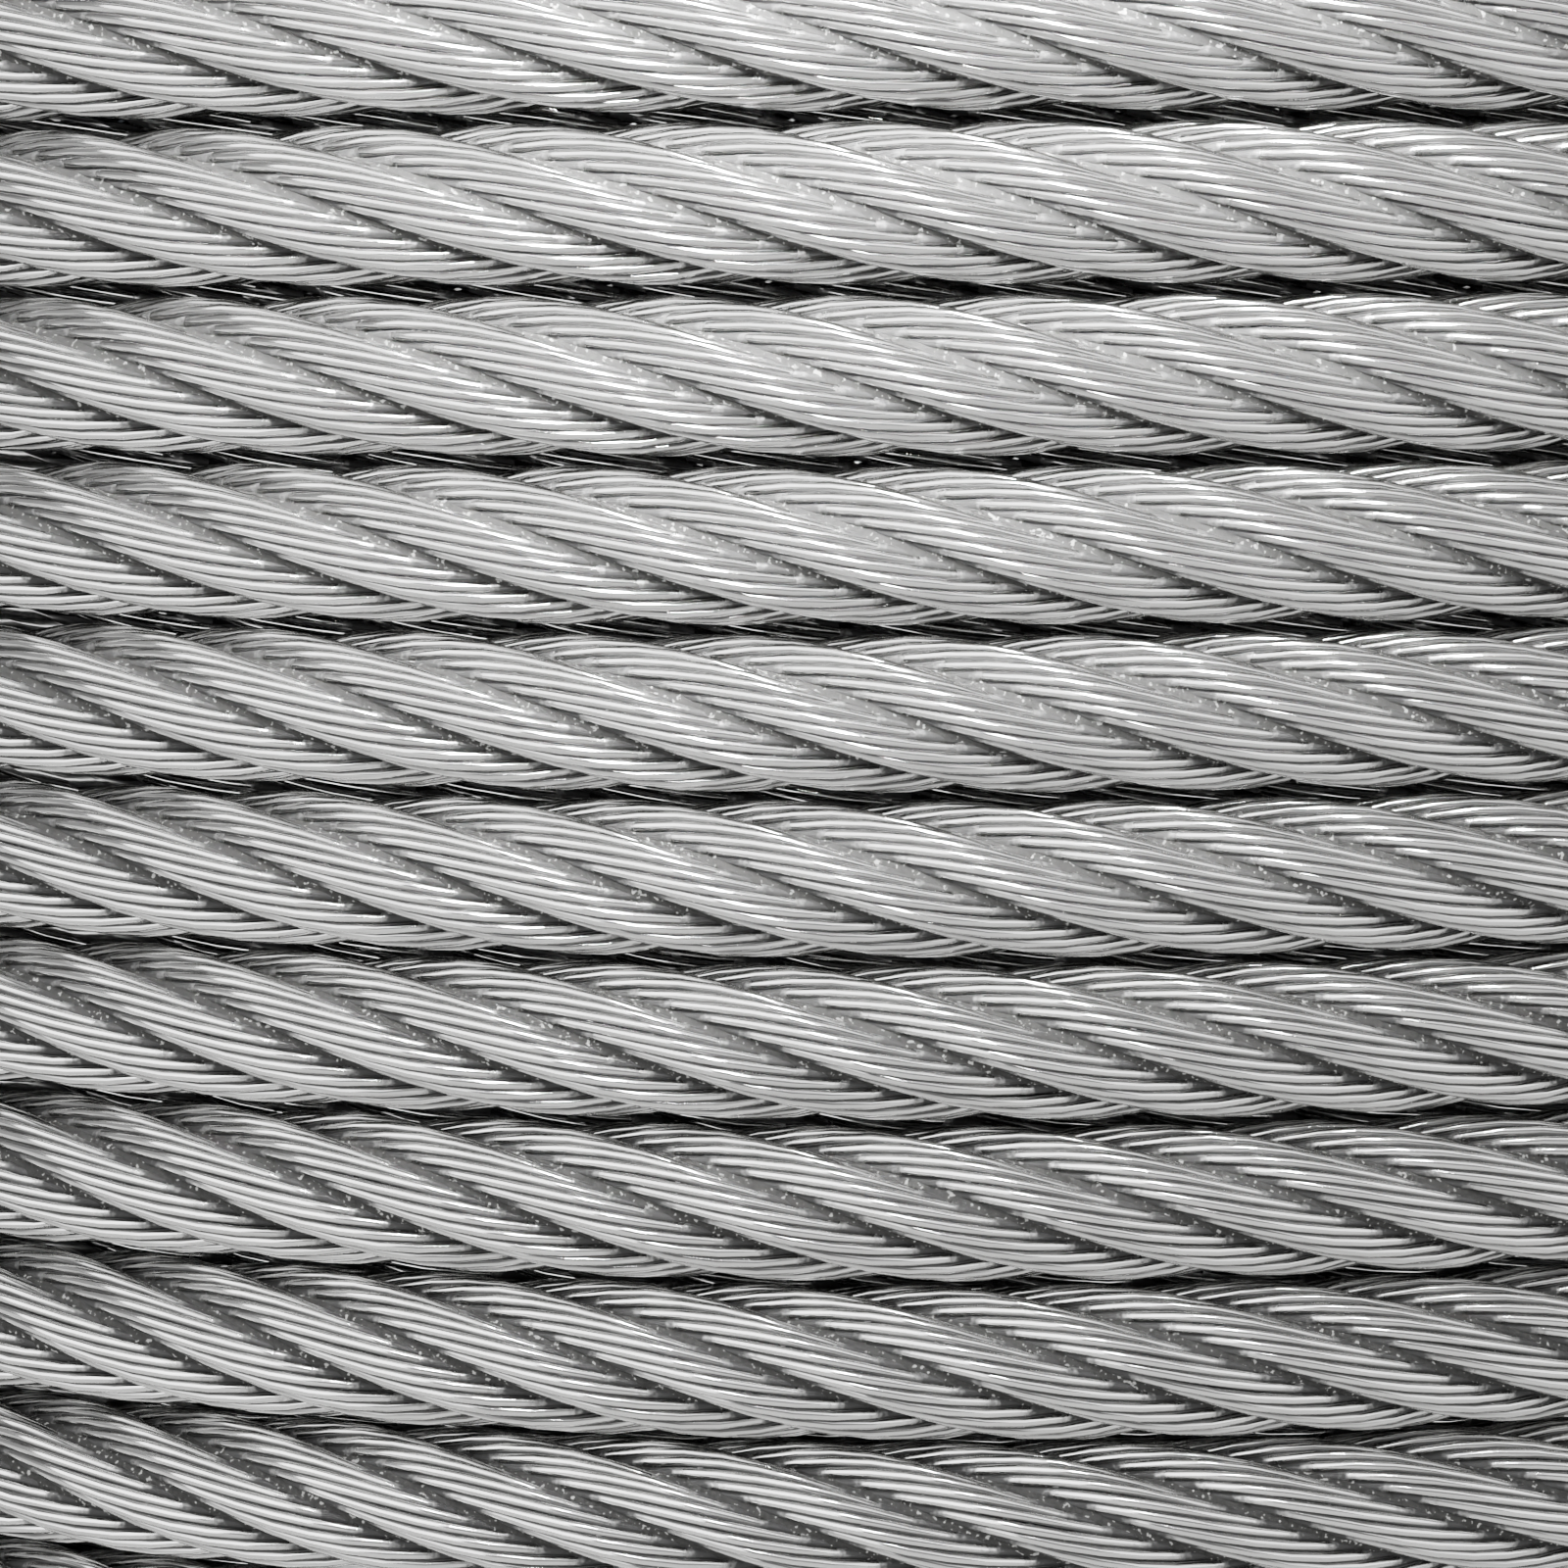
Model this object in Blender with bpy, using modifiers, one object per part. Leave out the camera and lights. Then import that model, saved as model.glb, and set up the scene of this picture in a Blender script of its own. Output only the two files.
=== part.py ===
"""A bound coil of steel wire rope, lying flat on its end.

The rope is wound in nested layers. Each odd layer sits half a turn higher, in the grooves of the
layer outside it, and has one turn fewer. The whole winding is one turned solid with its bore: its
turns show on the outer face, in the bore and on both ends. Four steel straps hold it together,
each closed by a folded seal.

Lengths are in metres, +Z is up, and the origin is on the floor at the middle of the coil.
"""

import math

import bmesh
import bpy
from mathutils import Vector
from mathutils.geometry import convex_hull_2d

# The rope and its winding
ROPE_DIAMETER = 0.010
TURN_GAP = 0.0005
TURNS_HIGH = 12
LAYER_COUNT = 4
COIL_DIAMETER = 0.380

# The straps that bind the coil
STRAP_COUNT = 4
STRAP_WIDTH = 0.013
STRAP_THICKNESS = 0.0005

# The folded seals that close the straps
SEAL_LENGTH = 0.028
SEAL_THICKNESS = 0.0009

# The space kept between pieces that touch
CLEARANCE = 0.0003

# How finely the round shapes are cut into flats
FLATS_AROUND_COIL = 40
FLATS_AROUND_ROPE = 8
FIRST_STRAP_FLAT = 5

# How high the bottom of a groove lies above the line between two rope centres, against the rope's
# radius: turns of one layer lie a gap apart, so it goes down to the layer beneath, and nested turns
# touch, so it ends where they meet
OPEN_GROOVE_SHARE = -0.6
CLOSED_GROOVE_SHARE = 0.1

TURN_PITCH = ROPE_DIAMETER + TURN_GAP
ROPE_RADIUS = ROPE_DIAMETER / 2
LAYER_STEP = math.sqrt(ROPE_DIAMETER**2 - (TURN_PITCH / 2) ** 2)
STRAP_SPACE = STRAP_THICKNESS + CLEARANCE
FLAT_ANGLE = math.tau / FLATS_AROUND_COIL


def clear_scene():
    """Remove every object that the scene starts with."""
    for thing in list(bpy.data.objects):
        bpy.data.objects.remove(thing)


def steel(name, colour, roughness):
    """Return a metallic material of one colour and roughness."""
    material = bpy.data.materials.new(name)
    material.use_nodes = True
    shader = material.node_tree.nodes["Principled BSDF"]
    shader.inputs["Base Color"].default_value = (*colour, 1.0)
    shader.inputs["Roughness"].default_value = roughness
    shader.inputs["Metallic"].default_value = 1.0
    return material


def add_object(name, shape, material, collection):
    """Turn a bmesh into a named object with its material, in the coil's collection."""
    mesh = bpy.data.meshes.new(name)
    shape.to_mesh(mesh)
    shape.free()
    mesh.materials.append(material)
    thing = bpy.data.objects.new(name, mesh)
    collection.objects.link(thing)
    return thing


def layer_centres(layer):
    """Return where the rope's centre crosses the section in one layer, from the bottom up."""
    nested = layer % 2
    radius = COIL_DIAMETER / 2 - ROPE_RADIUS - layer * LAYER_STEP
    lowest = STRAP_SPACE + ROPE_RADIUS + nested * TURN_PITCH / 2
    return [Vector((radius, lowest + turn * TURN_PITCH)) for turn in range(TURNS_HIGH - nested)]


def outline_centres():
    """Return the rope centres round the section's outside: outer face down, then back up the bore."""
    outer = layer_centres(0)
    inner = layer_centres(LAYER_COUNT - 1)
    middle = [layer_centres(layer) for layer in range(1, LAYER_COUNT - 1)]
    bottom = [centres[0] for centres in middle]
    top = [centres[-1] for centres in reversed(middle)]
    return outer[::-1] + bottom + inner + top


def direction(start, end):
    """Return the angle of the line from one point to another."""
    return math.atan2(end.y - start.y, end.x - start.x)


def turn_corners(before, centre, after):
    """Return the corners of one turn's flats that face out of the section, running clockwise."""
    flat = math.tau / FLATS_AROUND_ROPE
    reach = ROPE_RADIUS / math.cos(flat / 2)
    margin = flat * 0.3
    start = direction(centre, before)
    sweep = (start - direction(centre, after)) % math.tau
    first = math.floor((start - margin) / flat - 0.5)
    corners = []
    for index in range(first, first - FLATS_AROUND_ROPE, -1):
        angle = (index + 0.5) * flat
        if angle > start - sweep + margin:
            corners.append(centre + reach * Vector((math.cos(angle), math.sin(angle))))
    return corners


def groove_point(centre, after):
    """Return the bottom of the groove between two turns that lie side by side."""
    run = after - centre
    apart = run.length > ROPE_DIAMETER + TURN_GAP / 2
    share = OPEN_GROOVE_SHARE if apart else CLOSED_GROOVE_SHARE
    outward = Vector((-run.y, run.x)).normalized()
    return (centre + after) / 2 + share * ROPE_RADIUS * outward


def section_outline():
    """Return the section of the winding as points of radius and height, running clockwise."""
    centres = outline_centres()
    points = []
    for index, centre in enumerate(centres):
        after = centres[(index + 1) % len(centres)]
        points += turn_corners(centres[index - 1], centre, after)
        points.append(groove_point(centre, after))
    return points


def build_winding(material, collection):
    """Turn the section round the coil's axis, with its flats touching the true circles."""
    shape = bmesh.new()
    stretch = 1 / math.cos(FLAT_ANGLE / 2)
    corners = [shape.verts.new((point.x * stretch, 0, point.y)) for point in section_outline()]
    for index, corner in enumerate(corners):
        shape.edges.new((corner, corners[(index + 1) % len(corners)]))
    winding = add_object("rope_coil", shape, material, collection)
    winding.rotation_euler.z = FLAT_ANGLE / 2
    turning = winding.modifiers.new("turned", "SCREW")
    turning.axis = "Z"
    turning.angle = math.tau
    turning.steps = FLATS_AROUND_COIL
    turning.render_steps = FLATS_AROUND_COIL
    turning.use_merge_vertices = True
    turning.merge_threshold = 0.00001
    turning.use_smooth_shade = True
    return winding


def strap_path():
    """Return the line of a strap's inner face: the tight loop round the section, held clear of it."""
    outline = section_outline()
    loop = [outline[index] for index in convex_hull_2d(outline)]
    path = []
    for index, corner in enumerate(loop):
        arriving = (corner - loop[index - 1]).normalized()
        leaving = (loop[(index + 1) % len(loop)] - corner).normalized()
        arriving_normal = Vector((arriving.y, -arriving.x))
        leaving_normal = Vector((leaving.y, -leaving.x))
        spread = arriving_normal + leaving_normal
        path.append(corner + spread * CLEARANCE / (1 + arriving_normal.dot(leaving_normal)))
    return path


def strap_angle(index):
    """Return the angle of one strap, which lies on the middle of a flat of the coil."""
    flat = FIRST_STRAP_FLAT + round(index * FLATS_AROUND_COIL / STRAP_COUNT)
    return flat * FLAT_ANGLE


def add_wall(thing, thickness):
    """Give an open sheet its thickness on the side that its faces point to."""
    wall = thing.modifiers.new("wall", "SOLIDIFY")
    wall.thickness = thickness
    wall.offset = 1.0
    wall.use_even_offset = True


def build_strap(index, material, collection):
    """Bend one strap round the section of the coil."""
    shape = bmesh.new()
    path = strap_path()
    near = [shape.verts.new((point.x, -STRAP_WIDTH / 2, point.y)) for point in path]
    far = [shape.verts.new((point.x, STRAP_WIDTH / 2, point.y)) for point in path]
    for start in range(len(path)):
        end = (start + 1) % len(path)
        shape.faces.new((near[start], far[start], far[end], near[end]))
    strap = add_object(f"strap_{index + 1}", shape, material, collection)
    strap.rotation_euler.z = strap_angle(index)
    add_wall(strap, STRAP_THICKNESS)
    return strap


def build_seal(index, material, collection):
    """Fold one seal over its strap, halfway up the outer face."""
    inner = COIL_DIAMETER / 2 + CLEARANCE
    outer = inner + STRAP_THICKNESS + CLEARANCE
    side = STRAP_WIDTH / 2 + CLEARANCE
    middle = STRAP_SPACE + (TURNS_HIGH * TURN_PITCH - TURN_GAP) / 2
    fold = [(inner, -side), (outer, -side), (outer, side), (inner, side)]
    shape = bmesh.new()
    low = [shape.verts.new((x, y, middle - SEAL_LENGTH / 2)) for x, y in fold]
    high = [shape.verts.new((x, y, middle + SEAL_LENGTH / 2)) for x, y in fold]
    for start in range(len(fold) - 1):
        shape.faces.new((low[start], low[start + 1], high[start + 1], high[start]))
    seal = add_object(f"strap_seal_{index + 1}", shape, material, collection)
    seal.rotation_euler.z = strap_angle(index)
    add_wall(seal, SEAL_THICKNESS)
    return seal


def main():
    """Build the winding, its straps and their seals."""
    clear_scene()
    collection = bpy.data.collections.new("wire_rope_coil")
    bpy.context.scene.collection.children.link(collection)
    rope_steel = steel("rope_steel", (0.58, 0.58, 0.57), 0.34)
    strap_steel = steel("strap_steel", (0.20, 0.21, 0.22), 0.42)
    seal_steel = steel("seal_steel", (0.52, 0.53, 0.54), 0.36)
    build_winding(rope_steel, collection)
    for index in range(STRAP_COUNT):
        build_strap(index, strap_steel, collection)
        build_seal(index, seal_steel, collection)


main()
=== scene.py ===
"""Looks for a bound coil of steel wire rope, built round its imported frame.

The rope has six strands of twelve outer wires, laid right-handed, and lies in nested layers. The
outer layer has every outer wire as a round wire, most finely made where the camera looks. The
inner layers have their strands as shaped skins, whose wires are in the material. All of it is laid
by Geometry Nodes along the turns of the winding. The straps are the frame's own with a finish of
their own, and crimped seals and tails of strap are added to them.

Lengths are in metres, +Z is up, and azimuth is measured round the coil from its front, -Y.
"""

from __future__ import annotations

import logging
import math
from dataclasses import dataclass, fields
from enum import Enum
from typing import Mapping, Sequence

import bmesh
import bpy
from mathutils import Matrix, Vector


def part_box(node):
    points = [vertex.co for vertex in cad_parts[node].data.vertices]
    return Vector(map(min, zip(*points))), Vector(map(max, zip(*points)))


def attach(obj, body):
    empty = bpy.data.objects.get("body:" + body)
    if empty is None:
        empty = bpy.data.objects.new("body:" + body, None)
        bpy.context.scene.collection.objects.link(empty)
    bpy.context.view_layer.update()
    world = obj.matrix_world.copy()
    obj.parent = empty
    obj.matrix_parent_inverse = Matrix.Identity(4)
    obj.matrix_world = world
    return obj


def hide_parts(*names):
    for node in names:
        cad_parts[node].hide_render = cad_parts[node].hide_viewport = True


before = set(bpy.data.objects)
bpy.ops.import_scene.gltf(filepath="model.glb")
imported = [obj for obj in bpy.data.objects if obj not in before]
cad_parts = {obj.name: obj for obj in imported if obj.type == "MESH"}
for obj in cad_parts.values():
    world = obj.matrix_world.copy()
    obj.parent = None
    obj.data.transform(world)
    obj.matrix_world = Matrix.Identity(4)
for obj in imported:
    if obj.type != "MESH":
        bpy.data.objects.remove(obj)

LOG = logging.getLogger("coil")
PHOTO_SIZE = 1600
SENSOR_WIDTH = 36.0
PATCH_SCALE = 240.0
STRIP = "strip"
EXPOSURE = "exposure"
WIRE_PHASE = "wire_phase"
CROWN = "crown"


class Layer(Enum):
    """The layers of the winding that something is built on, from the outside in."""

    OUTER = 0
    SECOND = 1
    THIRD = 2
    BORE = 3


class Value:
    """A number, worked out by nodes, that takes part in Python expressions."""

    def __init__(self, tree: Tree, socket: bpy.types.NodeSocket) -> None:
        """Wrap an output socket of a tree."""
        self.tree = tree
        self.socket = socket

    def math(self, operation: str, *others: object) -> Value:
        """Return the result of one Math node.

        Args:
            operation: The Math node's operation.
            others: The operands that follow this value.

        Returns:
            The node's output.
        """
        inputs = dict(enumerate((self, *others)))
        return self.tree.value("ShaderNodeMath", {"operation": operation}, inputs)

    def __add__(self, other: object) -> Value:
        """Return the sum."""
        return self.math("ADD", other)

    def __radd__(self, other: float) -> Value:
        """Return the sum."""
        return self.math("ADD", other)

    def __sub__(self, other: object) -> Value:
        """Return the difference."""
        return self.math("SUBTRACT", other)

    def __rsub__(self, other: float) -> Value:
        """Return the difference from a plain number."""
        return self.math("MULTIPLY_ADD", -1.0, other)

    def __mul__(self, other: object) -> Value:
        """Return the product."""
        return self.math("MULTIPLY", other)

    def __rmul__(self, other: float) -> Value:
        """Return the product."""
        return self.math("MULTIPLY", other)

    def __truediv__(self, other: object) -> Value:
        """Return the quotient."""
        return self.math("DIVIDE", other)

    def __mod__(self, other: object) -> Value:
        """Return the remainder."""
        return self.math("FLOORED_MODULO", other)

    def __pow__(self, other: object) -> Value:
        """Return the power."""
        return self.math("POWER", other)

    def __lt__(self, other: object) -> Value:
        """Return 1 where this is less, otherwise 0."""
        return self.math("LESS_THAN", other)

    def __gt__(self, other: object) -> Value:
        """Return 1 where this is greater, otherwise 0."""
        return self.math("GREATER_THAN", other)

    def floor(self) -> Value:
        """Return the whole part."""
        return self.math("FLOOR")

    def sine(self) -> Value:
        """Return the sine of this angle."""
        return self.math("SINE")

    def cosine(self) -> Value:
        """Return the cosine of this angle."""
        return self.math("COSINE")

    def between(self, low: float, high: float) -> Value:
        """Return a smooth step from 0 at low to 1 at high."""
        settings = {"interpolation_type": "SMOOTHSTEP"}
        inputs = {"Value": self, "From Min": low, "From Max": high}
        return self.tree.value("ShaderNodeMapRange", settings, inputs)


class Tree:
    """A node tree, and the one way in which nodes are added to it."""

    def __init__(self, tree: bpy.types.NodeTree) -> None:
        """Work on an existing tree."""
        self.tree = tree

    def add(
        self,
        kind: str,
        settings: Mapping[str, object] | None = None,
        inputs: Mapping[str | int, object] | None = None,
    ) -> bpy.types.Node:
        """Add a node, set it up and feed its sockets.

        Args:
            kind: The node's type.
            settings: Properties that are set first. A ramp's stops are pairs of place and colour.
            inputs: Values or links of its sockets, by name or by number.

        Returns:
            The new node.
        """
        node = self.tree.nodes.new(kind)
        for name, value in (settings or {}).items():
            if name == "stops":
                self.set_stops(node, value)
            else:
                setattr(node, name, value)
        for name, value in (inputs or {}).items():
            self.feed(node.inputs[name], value)
        return node

    def feed(self, socket: bpy.types.NodeSocket, value: object) -> None:
        """Link a value to a socket, or set the socket to it."""
        source = getattr(value, "socket", value)
        if isinstance(source, bpy.types.NodeSocket):
            self.tree.links.new(source, socket)
        else:
            socket.default_value = source

    def value(
        self,
        kind: str,
        settings: Mapping[str, object] | None = None,
        inputs: Mapping[str | int, object] | None = None,
        output: int | str = 0,
    ) -> Value:
        """Add a node and return one of its outputs as a value."""
        return Value(self, self.add(kind, settings, inputs).outputs[output])

    def vector(self, x: object, y: object, z: object) -> Value:
        """Join three numbers to a vector."""
        return self.value("ShaderNodeCombineXYZ", None, {0: x, 1: y, 2: z})

    @staticmethod
    def set_stops(node: bpy.types.Node, stops: Sequence[tuple[float, tuple[float, ...]]]) -> None:
        """Give a colour ramp its stops."""
        elements = node.color_ramp.elements
        while len(elements) < len(stops):
            elements.new(1.0)
        for element, (place, colour) in zip(elements, stops):
            element.position = place
            element.color = colour


class GrowthTree(Tree):
    """A Geometry Nodes tree with named inputs for its sizes."""

    def __init__(self, name: str) -> None:
        """Start a tree with a geometry input and a geometry output."""
        super().__init__(bpy.data.node_groups.new(name, "GeometryNodeTree"))
        self.identifiers: dict[str, str] = {}
        self.sizes: dict[str, object] = {}
        self.entry = self.tree.nodes.new("NodeGroupInput")
        self.exit = self.tree.nodes.new("NodeGroupOutput")
        for direction in ("INPUT", "OUTPUT"):
            self.tree.interface.new_socket(
                "Geometry", in_out=direction, socket_type="NodeSocketGeometry"
            )

    def size(self, name: str, amount: object, kind: str = "NodeSocketFloat") -> Value:
        """Add a named input that holds a size.

        Args:
            name: The input's name.
            amount: Its value.
            kind: Its socket type.

        Returns:
            The input's value in the tree.
        """
        item = self.tree.interface.new_socket(name, in_out="INPUT", socket_type=kind)
        self.identifiers[name] = item.identifier
        self.sizes[name] = amount
        socket = next(s for s in self.entry.outputs if s.identifier == item.identifier)
        return Value(self, socket)

    def attribute(self, name: str, kind: str = "FLOAT") -> Value:
        """Return a named attribute of the geometry that is being worked on."""
        return self.value("GeometryNodeInputNamedAttribute", {"data_type": kind}, {"Name": name})

    def store(
        self, geometry: object, name: str, value: object, domain: str, kind: str = "FLOAT"
    ) -> Value:
        """Store a value on a geometry under a name and return the geometry."""
        settings = {"data_type": kind, "domain": domain}
        inputs = {"Geometry": geometry, "Name": name, "Value": value}
        return self.value("GeometryNodeStoreNamedAttribute", settings, inputs)

    def finish(self, geometry: object, material: bpy.types.Material) -> None:
        """End the tree: smooth faces, real instances and a material."""
        finish = self.size("Material", material, "NodeSocketMaterial")
        smooth = self.value(
            "GeometryNodeSetShadeSmooth", None, {"Geometry": geometry, "Shade Smooth": True}
        )
        real = self.value("GeometryNodeRealizeInstances", None, {"Geometry": smooth})
        dressed = self.value(
            "GeometryNodeSetMaterial", None, {"Geometry": real, "Material": finish}
        )
        self.feed(self.exit.inputs[0], dressed)

    def grow(self, name: str, seed_mesh: bpy.types.Mesh) -> bpy.types.Object:
        """Run the tree on a mesh and keep the result as a plain mesh.

        Args:
            name: The name of the piece.
            seed_mesh: The mesh that the tree starts from.

        Returns:
            The finished piece, with no modifier left on it.
        """
        piece = bpy.data.objects.new(name, seed_mesh)
        bpy.context.scene.collection.objects.link(piece)
        growth = piece.modifiers.new("growth", "NODES")
        growth.node_group = self.tree
        for size_name, amount in self.sizes.items():
            growth[self.identifiers[size_name]] = amount
        graph = bpy.context.evaluated_depsgraph_get()
        grown = bpy.data.meshes.new_from_object(
            piece.evaluated_get(graph), preserve_all_data_layers=True, depsgraph=graph
        )
        piece.modifiers.clear()
        piece.data = grown
        grown.name = name
        return piece


@dataclass(frozen=True)
class Rope:
    """How the rope is made."""

    diameter: float = 0.010
    strands: int = 6
    wires: int = 12
    strand_lay: float = 0.0624
    wire_lay: float = 0.0286

    @property
    def radius(self) -> float:
        """Half the rope's diameter."""
        return self.diameter / 2

    @property
    def strand_radius(self) -> float:
        """The radius of a strand, as six strands touch round a core of their own size."""
        return self.diameter / 6

    @property
    def strand_circle(self) -> float:
        """The radius of the circle that the strands' centres lie on."""
        return self.radius - self.strand_radius

    @property
    def wire_circle(self) -> float:
        """The radius of the circle in a strand that its outer wires' centres lie on."""
        return self.strand_radius / (1 + math.sin(math.pi / self.wires))

    @property
    def wire_radius(self) -> float:
        """The radius of an outer wire."""
        return self.strand_radius - self.wire_circle


@dataclass(frozen=True)
class Turn:
    """One turn of the rope round the coil, from the back round the front to the back again."""

    layer: int
    radius: float
    height: float
    next_radius: float
    next_height: float
    shift_from: float
    shift_to: float
    bulge: float
    lift: float
    begins: float
    ends: float
    phase: float
    rate: float
    catch_left: float
    catch_right: float

    def strand_angle(self, azimuth: float) -> float:
        """Return where the first strand lies round the rope's centre, from outward towards up."""
        catch = self.catch_right if azimuth > 0 else self.catch_left
        return self.phase - self.rate * azimuth - catch * (azimuth / math.pi) ** 2


TURN_FIELDS = tuple(field.name for field in fields(Turn) if field.name != "layer")


@dataclass(frozen=True)
class Winding:
    """The rope's turns, worked out from the frame's own size.

    The groove places say how far left of the front each photographed row's nearest groove lies, in
    strand spacings. They were measured in the photo and fitted, then rounded.
    """

    rope: Rope
    turns_high: int = 12
    turn_gap: float = 0.0005
    crossing: float = math.radians(30)
    climb_lift: float = 0.0035
    outer_end: float = math.radians(144)
    inner_end: float = math.radians(-146)
    lay_drift: float = -0.0044
    middle_row: float = 4.5
    top_row: int = -1
    groove_places: tuple[float, ...] = (0.5, 0.26, 0.32, 0.85, 0.89, 0.60, 0.67, 0.28, 0.62, 0.4)
    hidden_share: float = 0.6
    gap_share: float = 0.3

    @property
    def pitch(self) -> float:
        """The height of one turn."""
        return self.rope.diameter + self.turn_gap

    @property
    def layer_step(self) -> float:
        """How much nearer the axis each layer lies, nested in the grooves of the next."""
        return math.sqrt(self.rope.diameter**2 - (self.pitch / 2) ** 2)

    @property
    def outer_radius(self) -> float:
        """The radius of the outer layer's rope centre."""
        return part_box("rope_coil")[1].x - self.rope.radius

    @property
    def lowest(self) -> float:
        """The height of the lowest rope centre."""
        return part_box("rope_coil")[0].z + self.rope.radius

    @property
    def highest(self) -> float:
        """The height of the highest rope centre."""
        return self.lowest + (self.turns_high - 1) * self.pitch

    def layer_radius(self, layer: int) -> float:
        """Return the radius of a layer's rope centre."""
        return self.outer_radius - layer * self.layer_step

    def outside_limit(self, layer: int) -> float:
        """Return the radius beyond which a layer shows from outside the coil."""
        if layer == Layer.OUTER.value:
            return self.outer_radius - self.hidden_share * self.rope.radius
        if layer == Layer.SECOND.value:
            return self.layer_radius(layer) + self.gap_share * self.rope.radius
        return self.outer_radius * 2

    def inside_limit(self, layer: int) -> float:
        """Return the radius below which a layer shows from the bore."""
        if layer == Layer.BORE.value:
            return self.layer_radius(layer) + self.hidden_share * self.rope.radius
        if layer == Layer.THIRD.value:
            return self.layer_radius(layer) - self.gap_share * self.rope.radius
        return 0.0

    def heights(self, layer: int) -> list[float]:
        """Return the heights of a layer's turns in the order that the rope makes them."""
        nested = layer % 2
        heights = [
            self.lowest + (turn + nested / 2) * self.pitch
            for turn in range(self.turns_high - nested)
        ]
        return heights if nested else heights[::-1]

    def groove_place(self, layer: int, height: float) -> float:
        """Return how far left of the front a turn's nearest groove lies, in strand spacings."""
        row = self.top_row + round((self.highest - height) / self.pitch)
        if layer == 0 and 0 <= row < len(self.groove_places):
            return self.groove_places[row]
        return (0.37 * row + 0.19 * layer) % 1.0

    def make_turn(
        self, layer: int, height: float, before: bool, after: tuple[float, float] | None
    ) -> Turn:
        """Work out one turn.

        Args:
            layer: The layer that it lies in, 0 being the outer one.
            height: The height of its centre.
            before: Whether the rope comes from another turn, and doesn't begin here.
            after: The radius and height where the rope goes on, or None at the rope's end.

        Returns:
            The turn.
        """
        spacing = math.tau / self.rope.strands
        radius = self.layer_radius(layer)
        row = self.top_row + (self.highest - height) / self.pitch
        drift = 1 + self.lay_drift * (row - self.middle_row)
        rate = math.tau * radius / (self.rope.strand_lay * drift)
        phase = spacing * (0.5 - self.groove_place(layer, height))
        next_radius, next_height = after or (radius, height)
        climbs = next_radius != radius
        zone = self.crossing
        if climbs:
            shift_from, shift_to = math.pi - 0.75 * zone, math.pi - 0.25 * zone
        elif layer % 2:
            shift_from, shift_to = math.pi - 0.5 * zone, math.pi
        else:
            shift_from, shift_to = math.pi - zone, math.pi - 0.5 * zone
        spread = self.rope.diameter - self.layer_step
        return Turn(
            layer=layer,
            radius=radius,
            height=height,
            next_radius=next_radius,
            next_height=next_height,
            shift_from=shift_from,
            shift_to=shift_to,
            bulge=(Layer.BORE.value - layer) * spread if after else 0.0,
            lift=self.climb_lift if climbs and next_height > height else 0.0,
            begins=-math.pi if before else self.inner_end,
            ends=math.pi if after else self.outer_end,
            phase=phase,
            rate=rate,
            catch_left=math.remainder(phase + rate * math.pi, spacing),
            catch_right=math.remainder(phase - rate * math.pi, spacing),
        )

    def turns(self) -> list[Turn]:
        """Return every turn, along the rope from its inner end to its outer end."""
        places = [
            (layer, self.layer_radius(layer), height)
            for layer in range(Layer.BORE.value, Layer.OUTER.value - 1, -1)
            for height in self.heights(layer)
        ]
        turns = []
        for index, (layer, _, height) in enumerate(places):
            after = places[index + 1][1:] if index + 1 < len(places) else None
            turns.append(self.make_turn(layer, height, index > 0, after))
        return turns


def turn_mesh(name: str, turns: Sequence[Turn]) -> bpy.types.Mesh:
    """Return a mesh of one point a turn, which carries the turns' sizes as attributes."""
    mesh = bpy.data.meshes.new(name)
    mesh.from_pydata([(turn.radius, 0.0, turn.height) for turn in turns], [], [])
    for field_name in TURN_FIELDS:
        attribute = mesh.attributes.new(field_name, "FLOAT", "POINT")
        attribute.data.foreach_set("value", [getattr(turn, field_name) for turn in turns])
    return mesh


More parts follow.
